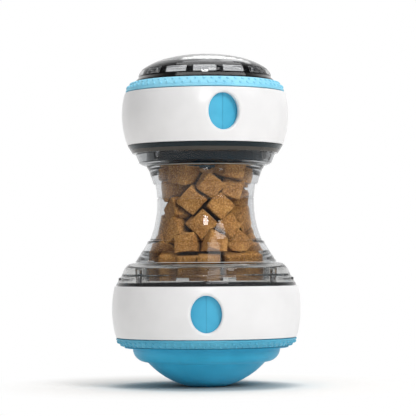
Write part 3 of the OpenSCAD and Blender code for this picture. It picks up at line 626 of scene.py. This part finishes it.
def band_piece(name, head, body, node):
    """A white band: a bulging ring with straight-cut oval ports whose edges roll inwards."""
    corners, faces = [], []
    flat = head["half"] - RIM_ROUND
    centre_r = head["out"] - head["bulge"]
    drop = head["port_z"] - head["mid"]
    a, b = head["port_w"] / 2, PORT_H / 2
    gap = TURN / PORTS - 2 * BLOCK
    roll_line = [PORT_ROLL * (1 - math.cos(q)) for q in spaced(0, QUARTER, ROLL_STEPS)]

    def face_r(v, bore=False):
        """Radius of the band's outer face, or of its bore, at a height over its middle."""
        return head["bore"] if bore else centre_r + math.sqrt(head["bulge"] ** 2 - (v - head["off"]) ** 2)

    def patch(rows):
        """Faces between rows of points, given as radius, azimuth and height over the middle."""
        first = len(corners)
        for row in rows:
            corners.extend(polar(r, turn, head["mid"] + v) for r, turn, v in row)
        faces.extend(grid_faces(first, len(rows), len(rows[0])))

    def oval_angle(x, y):
        """Where on a port's oval the line out to a point of its block's edge starts."""
        return math.atan2(y * flat / b, x * BLOCK * head["out"] / a)

    def port_turn(middle, u, r):
        """Azimuth of a point at a radius that is u away from the port's middle plane."""
        return middle + math.asin(u / r)

    def line_out(middle, x, y, bore):
        """Points from the port's oval, over its roll on the outer face, to the edge of its block."""
        t = oval_angle(x, y)
        hole = Vector((a * math.cos(t), b * math.sin(t)))
        out = Vector((b * math.cos(t), a * math.sin(t))).normalized()
        line = []
        for d in roll_line:
            p = hole + out * d
            v = p.y + drop
            depth = PORT_ROLL - math.sqrt(max(0, PORT_ROLL ** 2 - (PORT_ROLL - d) ** 2))
            r = face_r(v, bore) - (0 if bore else depth)
            line.append((r, port_turn(middle, p.x, r), v))
        start = Vector((port_turn(middle, p.x, face_r(v, bore)), v))
        end = Vector((middle + x * BLOCK, y * flat))
        for i in range(1, BLOCK_STEPS + 1):
            q = start.lerp(end, i / BLOCK_STEPS)
            line.append((face_r(q.y, bore), q.x, q.y))
        return line

    def line_in(middle, x, y):
        """Points through the port's wall, from its roll to the bore."""
        t = oval_angle(x, y)
        u, v = a * math.cos(t), b * math.sin(t) + drop
        depths = spaced(face_r(v) - PORT_ROLL, head["bore"], WALL_STEPS)
        return [(r, port_turn(middle, u, r), v) for r in depths]

    for port in range(PORTS):
        middle = math.radians(head["port_a"] + 360 / PORTS * port)
        for bore in (False, True):
            patch([line_out(middle, x, y, bore) for x, y in square_edge()])
            patch([[(face_r(v, bore), middle + BLOCK + turn, v) for v in spaced(-flat, flat, UPRIGHT_STEPS)]
                   for turn in spaced(0, gap, GAP_STEPS)])
        patch([line_in(middle, x, y) for x, y in square_edge()])
        turns = spaced(-BLOCK, BLOCK, ACROSS_STEPS)
        turns += [BLOCK + turn for turn in spaced(0, gap, GAP_STEPS)[1:]]
        for sign in (-1, 1):
            rim_r = face_r(sign * flat)
            rim = [(rim_r - RIM_ROUND + RIM_ROUND * math.cos(q), sign * (flat + RIM_ROUND * math.sin(q)))
                   for q in spaced(0, QUARTER, RIM_STEPS)]
            rim += [(head["bore"], sign * head["half"]), (head["bore"], sign * flat)]
            patch([[(r, middle + turn, v) for r, v in rim] for turn in turns])
    return piece(name, corners, faces, WHITE, body, "band_white", node)


# Grip rings

def dot(corners, faces, centre, normal):
    """A low round dot on a surface, sunk into it a little."""
    side = normal.orthogonal().normalized()
    up = normal.cross(side)
    first = len(corners)
    for i in range(DOT_RINGS):
        q = QUARTER * i / DOT_RINGS
        for j in range(DOT_STEPS):
            w = TURN * j / DOT_STEPS
            p = centre + (side * math.cos(w) + up * math.sin(w)) * DOT_R * math.cos(q)
            corners.append(tuple(p + normal * (DOT_H * math.sin(q) - DOT_SUNK)))
    corners.append(tuple(centre + normal * (DOT_H - DOT_SUNK)))
    faces.extend(grid_faces(first, DOT_RINGS, DOT_STEPS, True))
    top = first + DOT_RINGS * DOT_STEPS
    last = top - DOT_STEPS
    faces.extend((last + j, last + (j + 1) % DOT_STEPS, top) for j in range(DOT_STEPS))
    faces.append(tuple(first + DOT_STEPS - 1 - j for j in range(DOT_STEPS)))


def grip_piece(name, node, finish, body, slot, upward, count, rows, shift):
    """A soft ring: a lip with a groove beside the band, staggered rows of dots and rounded edges.

    It leans in on its way up or down from the band. Each row is a share of that way, and shift turns the
    first one by a share of the step from dot to dot.
    """
    box_low, box_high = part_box(node)
    low, high, r = box_low.z / MM, box_high.z / MM, box_high.x / MM
    tall = high - low

    def at(t):
        """A point of the ring's face at a share t of the way from the band to the free end."""
        lean = np.interp(t, *zip(*GRIP_LINE))
        return Vector((r - GRIP_LEAN * lean, low + t * tall if upward else high - t * tall))

    co = np.array([v.co[:] for v in nodes[node].data.vertices]) / MM
    rad = np.hypot(co[:, 0], co[:, 1])
    inner = rad.min()
    band_side, free_side = at(0).y, at(1).y
    seat = rad[np.abs(co[:, 2] - band_side) < TOUCH].min()
    shelf = min(co[np.abs(rad - inner) < TOUCH, 2], key=lambda z: abs(z - band_side))
    lip, *slope = [tuple(at(t)) for t, _ in GRIP_LINE[1:]]
    groove = [(at(t).x - deep, at(t).y) for t, deep in GRIP_GROOVE]
    line = [(seat, band_side), tuple(at(0)), lip] + groove + slope
    line += [(inner, free_side), (inner, shelf), (seat, shelf)]
    corners, faces = lathe(rounded(line, GRIP_ROUND), GRIP_STEPS)
    for row, t in enumerate(rows):
        here = at(t)
        along = at(t + DOT_LEAN) - at(t - DOT_LEAN)
        lean = Vector((abs(along.y), -along.x * (1 if upward else -1))).normalized()
        for j in range(count):
            w = TURN * (j + shift + 0.5 * row) / count
            dot(corners, faces, Vector(polar(here.x, w, here.y)), Vector(polar(lean.x, w, lean.y)))
    return piece(name, corners, faces, finish, body, slot, node)


# Dome

def rib_places():
    """Azimuth and the two radii of each rib: on both sides, to the front and to the back."""
    for angle, near, far in RIBS:
        for side in (-1, 1):
            for front in (-1, 1):
                # At the dome's very sides the front's rib is the back's as well
                if front == 1 or angle < 90:
                    yield front * (side * angle - 90), near, far


def dome_ribs():
    """Ribs under the dome's two sides, which shade the windows there and the view through them."""
    corners, faces = [], []
    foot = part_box("dome_lens")[0].z / MM + LENS_SHELF
    for azimuth, near, far in rib_places():
        turn = Matrix.Rotation(math.radians(azimuth), 3, "Z")
        first = len(corners)
        for k, r in enumerate(spaced(near, far, RIB_STEPS)):
            top = CROWN_FOOT + CROWN_H * math.sqrt(1 - (r / CROWN_R) ** 2)
            half = RIB_W / 2 * (RIB_END_SHARE if k in (0, RIB_STEPS) else 1)
            edge = half - RIB_BEVEL_W
            section = [(-half, foot), (half, foot), (half, top - RIB_BEVEL_H), (edge, top), (-edge, top),
                       (-half, top - RIB_BEVEL_H)]
            corners.extend(tuple(turn @ Vector((r, u, z))) for u, z in section)
        count = len(section)
        last = first + RIB_STEPS * count
        faces.extend(grid_faces(first, RIB_STEPS + 1, count, True))
        faces.append(tuple(range(first + count - 1, first - 1, -1)))
        faces.append(tuple(range(last, last + count)))
    return piece("dome_ribs", corners, faces, RIB_SMOKE, "upper_head", "dome_smoke", smooth=False)


# Treats

def islands(node):
    """The separate solids of a CAD node, each as its corners in millimetres."""
    data = nodes[node].data
    co = np.array([v.co[:] for v in data.vertices]) / MM
    keys, where = np.unique(np.round(co, CAD_DIGITS), axis=0, return_inverse=True)
    where = where.reshape(-1)
    parent = list(range(len(keys)))

    def root(i):
        while parent[i] != i:
            parent[i] = parent[parent[i]]
            i = parent[i]
        return i

    for edge in data.edges:
        one, two = root(where[edge.vertices[0]]), root(where[edge.vertices[1]])
        parent[max(one, two)] = min(one, two)
    groups = {}
    for i in range(len(keys)):
        groups.setdefault(root(i), []).append(keys[i])
    return [np.array(g) for g in groups.values()]


def box_of(points):
    """Middle, edge directions and side lengths of a box given by its eight corners."""
    size = np.linalg.norm
    middle = points.mean(0)
    corner = points[0]
    others = sorted((p - corner for p in points[1:]), key=size)
    x = others[0]
    y = next(p for p in others[1:] if abs(np.dot(x, p)) < SQUARE * size(x) * size(p))
    z = np.cross(x, y)
    z /= size(z)
    deep = 2 * abs(np.dot(corner - middle, z))
    turn = Matrix((x / size(x), y / size(y), z)).transposed()
    return Vector(middle), turn, Vector((size(x), size(y), deep))


def cad_boxes(node):
    """The treats where a CAD node has them."""
    return [box_of(points) for points in islands(node)]


def tube_room():
    """Heights and inner radii of the tube, from just over its foot up."""
    data = nodes["tube"].data
    walls = BVHTree.FromPolygons([v.co / MM for v in data.vertices], [p.vertices[:] for p in data.polygons])
    low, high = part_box("tube")
    heights = spaced(low.z / MM + TREAT_FLOOR, high.z / MM - ROOM_END, ROOM_STEPS)
    return heights, [walls.ray_cast(Vector((0, 0, z)), Vector((1, 0, 0)))[0].x for z in heights]


def hopper_of(room):
    """The tube's inner wall with a tall funnel over it, for the treats to fall through."""
    line = [(0.0, room[0][0])] + [(r - TREAT_CLEAR, z) for z, r in zip(*room)]
    line.append((line[-1][0], room[0][-1] + HOPPER_TALL))
    corners = [tuple(c / FALL_UNIT for c in polar(r, TURN * j / HOPPER_STEPS, z))
               for r, z in line for j in range(HOPPER_STEPS)]
    data = bpy.data.meshes.new("hopper")
    data.from_pydata(corners, [], grid_faces(0, len(line), HOPPER_STEPS, True))
    return add_object("hopper", data)


def loose_cube(rng, i, foot):
    """A cube with its own sides and turn at its place in the heap: the object, and the sides."""
    side = Vector([rng.uniform(*TREAT_SIDES) for _ in range(3)])
    block = bmesh.new()
    bmesh.ops.create_cube(block, size=1.0)
    bmesh.ops.scale(block, vec=side / FALL_UNIT, verts=block.verts)
    data = bpy.data.meshes.new("cube")
    block.to_mesh(data)
    block.free()
    layer, place = divmod(i, HEAP_LAYER)
    ring = HEAP_LAYER - 1
    out = 0 if place == ring else HEAP_OUT
    high = foot + HEAP_FOOT + HEAP_PITCH * layer
    cube = add_object("cube", data)
    cube.location = Vector(polar(out, TURN * place / ring + HEAP_TURN * layer, high)) / FALL_UNIT
    cube.rotation_euler = [rng.uniform(0, TURN) for _ in range(3)]
    return cube, side


def make_rigid(hopper, cubes, group):
    """Rigid bodies: the hopper stays and the cubes fall."""
    bpy.ops.rigidbody.world_add()
    world = bpy.context.scene.rigidbody_world
    world.collection = group
    for thing in [hopper] + cubes:
        group.objects.link(thing)
        body = thing.rigid_body
        body.type = "PASSIVE" if thing is hopper else "ACTIVE"
        body.collision_shape = "MESH" if thing is hopper else "BOX"
        for name, value in BODY.items():
            setattr(body, name, value)
    world.substeps_per_frame = FALL_SUBSTEPS
    world.solver_iterations = FALL_SOLVES
    world.point_cache.frame_end = FALL_FRAMES


def settled_boxes(rng, room):
    """Treats dropped into the tube until they lie as they fall: middle, turn and side lengths of each."""
    scene = bpy.context.scene
    hopper = hopper_of(room)
    heap = [loose_cube(rng, i, room[0][0]) for i in range(TREATS_DROPPED)]
    cubes = [cube for cube, _ in heap]
    group = bpy.data.collections.new("falling")
    make_rigid(hopper, cubes, group)
    scene.frame_end = FALL_FRAMES
    for f in range(1, FALL_FRAMES + 1):
        # The tube is swung round and shaken for a while, so that the treats fill its wide ends
        pull = SHAKE * math.sin(math.pi * min(1, f / SHAKE_FRAMES)) ** 2
        scene.gravity = (pull * math.cos(SHAKE_STEP * f), pull * math.sin(SHAKE_STEP * f), -GRAVITY)
        scene.frame_set(f)
    scene.gravity = (0, 0, -GRAVITY)
    view = bpy.context.evaluated_depsgraph_get()
    found = []
    for cube, side in heap:
        place = cube.evaluated_get(view).matrix_world
        found.append((place.translation * FALL_UNIT, place.to_3x3().normalized(), side))
    bpy.ops.rigidbody.world_remove()
    for thing in cubes + [hopper]:
        data = thing.data
        bpy.data.objects.remove(thing)
        bpy.data.meshes.remove(data)
    bpy.data.collections.remove(group)
    scene.frame_set(1)
    tops = [m.z + sum(abs(turn[2][k]) * side[k] / 2 for k in range(3)) for m, turn, side in found]
    return [box for box, top in zip(found, tops) if top < TREAT_TOP]


def spread(t):
    """Places from -1 to 1, closer together near the ends."""
    return math.sin(QUARTER * (2 * t - 1)) * 0.5 + (t - 0.5)


def cube_side(axis, face):
    """Points of one side of a cube from -1 to 1, row by row."""
    for i in range(TREAT_STEPS + 1):
        for j in range(TREAT_STEPS + 1):
            p = [face, face, face]
            p[(axis + 1) % 3] = spread(i / TREAT_STEPS)
            p[(axis + 2) % 3] = spread(j / TREAT_STEPS)
            yield Vector(p)


def broken_point(cube, size, soft, seed_at):
    """A cube's point on the treat's rounded form, moved out or in by its uneven surface."""
    inner = Vector([max(-1 + soft, min(1 - soft, c)) for c in cube])
    rest = (cube - inner).normalized() * soft
    local = Vector([(inner[k] + rest[k]) * size[k] / 2 for k in range(3)])
    wave = sum(noise.noise(local * often + seed_at) * high for often, high in TREAT_WAVES)
    return local * (1 + wave / (0.5 * size[0]))


def pressed(place, room):
    """A point moved in to the tube's wall and up to its foot if it lies past them."""
    far = math.hypot(place.x, place.y)
    most = np.interp(place.z, *room) - TREAT_CLEAR
    if far > most:
        place.x *= most / far
        place.y *= most / far
    place.z = max(place.z, room[0][0])
    return place


def kibble_piece(name, node, boxes, body, rng, grow, room=None):
    """Each treat as a rounded cube with an uneven, broken surface, pressed flat where it meets the tube."""
    corners, faces = [], []
    for middle, turn, side in boxes:
        size = side * grow
        soft = rng.uniform(*TREAT_ROUND)
        seed_at = Vector([rng.uniform(0, TREAT_NOISE) for _ in range(3)])
        for axis in range(3):
            for face in (-1, 1):
                first = len(corners)
                for cube in cube_side(axis, face):
                    place = middle + turn @ broken_point(cube, size, soft, seed_at)
                    corners.append(tuple(pressed(place, room) if room else place))
                faces.extend(grid_faces(first, TREAT_STEPS + 1, TREAT_STEPS + 1))
    return piece(name, corners, faces, KIBBLE, body, "treat", node)


# Stage, lamps and camera

def seen_directly(tree):
    """1 for what the camera sees, also in gloss or through clear plastic, and 0 for light that lights."""
    rays = tree.new("LightPath").outputs
    found = tree.maths("MAXIMUM", rays["Is Camera Ray"], rays["Is Transmission Ray"])
    return tree.maths("MAXIMUM", found, rays["Is Glossy Ray"])


def floor_finish():
    """Pale and matt, with a painted shadow beside the base, and running out into the white backdrop."""
    mat = bpy.data.materials.new("floor")
    floor = Tree(mat)
    floor.tree.nodes.clear()
    # Only the camera sees the painted shadow, so the light thrown up on the base stays as it is
    unseen = floor.maths("SUBTRACT", 1.0, floor.new("LightPath").outputs["Is Camera Ray"])
    lit = floor.maths("MAXIMUM", floor.open_air(FLOOR_SHADE, own=False), unseen)
    plain = floor.new("BsdfDiffuse")
    floor.feed(plain.inputs["Color"], floor.mix(lit, FLOOR_SHADOW_PAINT, FLOOR_COLOUR))
    far = floor.span(floor.length(floor.place()), 0.0, 1.0, FLOOR_NEAR * MM, FLOOR_FAR * MM, "SMOOTHSTEP")
    both = floor.new("MixShader")
    floor.feed(both.inputs[0], floor.maths("MULTIPLY", seen_directly(floor), far))
    floor.feed(both.inputs[1], plain.outputs[0])
    floor.feed(both.inputs[2], floor.new("Emission").outputs[0])
    floor.feed(floor.new("OutputMaterial").inputs["Surface"], both.outputs[0])
    return mat


def floor_piece():
    """A pale floor that keeps the object's shadow."""
    data = bpy.data.meshes.new("floor")
    h = FLOOR_HALF
    data.from_pydata([(-h, -h, 0), (h, -h, 0), (h, h, 0), (-h, h, 0)], [], [(0, 1, 2, 3)])
    data.materials.append(floor_finish())
    made = add_object("floor", data)
    return made


def sky():
    """A white backdrop for the camera, dimmer as a light, and to the front in gloss and through plastic."""
    world = bpy.data.worlds.new("studio")
    bpy.context.scene.world = world
    studio = Tree(world)
    rays = studio.new("LightPath").outputs
    to_back = studio.along("Y", studio.place("Generated"))
    gloss = studio.span(to_back, SKY_GLOSS, 1.0, *SKY_GLOSS_RISE, "SMOOTHSTEP")
    through = studio.span(to_back, SKY_THROUGH, 1.0, *SKY_THROUGH_RISE, "SMOOTHSTEP")
    strength = studio.mix(rays["Is Glossy Ray"], SKY_LIGHT, gloss, "FLOAT")
    strength = studio.mix(rays["Is Transmission Ray"], strength, through, "FLOAT")
    strength = studio.mix(rays["Is Camera Ray"], strength, 1.0, "FLOAT")
    back = studio.tree.nodes["Background"]
    studio.feed(back.inputs["Color"], (1, 1, 1, 1))
    studio.feed(back.inputs["Strength"], strength)


def turned_to(made, turn):
    made.rotation_mode = "QUATERNION"
    made.rotation_quaternion = turn


def lamp(name, at, size, watts, aim_high=AIM_HIGH, shine=True, light=True):
    """A round soft lamp, in metres, that shows in gloss, lights matt faces, or both."""
    data = bpy.data.lights.new(name, "AREA")
    data.shape = "DISK"
    data.size = size
    data.energy = watts
    made = add_object(name, data)
    made.location = at
    made.visible_glossy = shine
    made.visible_diffuse = light
    turned_to(made, (Vector((0, 0, aim_high)) - Vector(at)).to_track_quat("-Z", "Y"))
    return made


def photo_camera():
    """The camera from where the photograph was taken."""
    lens = bpy.data.cameras.new("camera")
    lens.lens = CAMERA_LENS
    lens.sensor_width = CAMERA_SENSOR
    lens.clip_end = CAMERA_REACH
    made = add_object("camera", lens)
    made.location = (0, -CAMERA_FAR, CAMERA_HIGH)
    level = Euler((math.radians(90 + CAMERA_TILT), 0, math.radians(-CAMERA_PAN))).to_matrix()
    turned_to(made, (level @ Matrix.Rotation(math.radians(CAMERA_ROLL), 3, "Z")).to_quaternion())
    return made


# The scene

for node_name, finish in FINISH.items():
    data = nodes[node_name].data
    data.materials.clear()
    data.materials.append(finish)

# Lamps reach the treats through the clear walls
for node_name in SEE_THROUGH:
    nodes[node_name].visible_shadow = False

band_piece("lower_band_shell", LOWER, "lower_head", "lower_band")
band_piece("upper_band_shell", UPPER, "upper_head", "upper_band")
grip_piece("lower_grip", "lower_grip_ring", GRIP_LOWER, "lower_dial", "grip_blue_lower",
           upward=False, count=68, rows=(0.47, 0.82), shift=0.2)
grip_piece("upper_grip", "upper_grip_ring", GRIP_UPPER, "upper_dial", "grip_blue_upper",
           upward=True, count=60, rows=(0.45, 0.8), shift=0.4)
dome_ribs()

chance = random.Random(CHANCE_SEED)
inside = tube_room()
loose = settled_boxes(chance, inside)
kibble_piece("tube_kibble", "tube_treats", loose, "tube", chance, TREAT_GROW, inside)
kibble_piece("head_kibble", "head_treats", cad_boxes("head_treats"), "lower_head", chance, HEAD_TREAT_GROW)

floor_piece()
sky()
lamp("key", (0.75, -1.0, 0.95), size=0.6, watts=11.3, shine=False)
lamp("front", (0.0, -1.2, 0.62), size=0.26, watts=4.2, light=False)
lamp("front_high", (0.3, -0.8, 1.3), size=0.6, watts=3.6, light=False)
lamp("window", (0.1, 0.9, 0.9), size=0.5, watts=1.3, aim_high=0.12, light=False)
lamp("fill", (-1.1, -0.9, 0.6), size=0.9, watts=0.6)
lamp("top", (0.1, 0.2, 1.3), size=1.2, watts=7.0, aim_high=0.05)
bpy.context.scene.camera = photo_camera()
bpy.context.scene.view_settings.view_transform = "Standard"
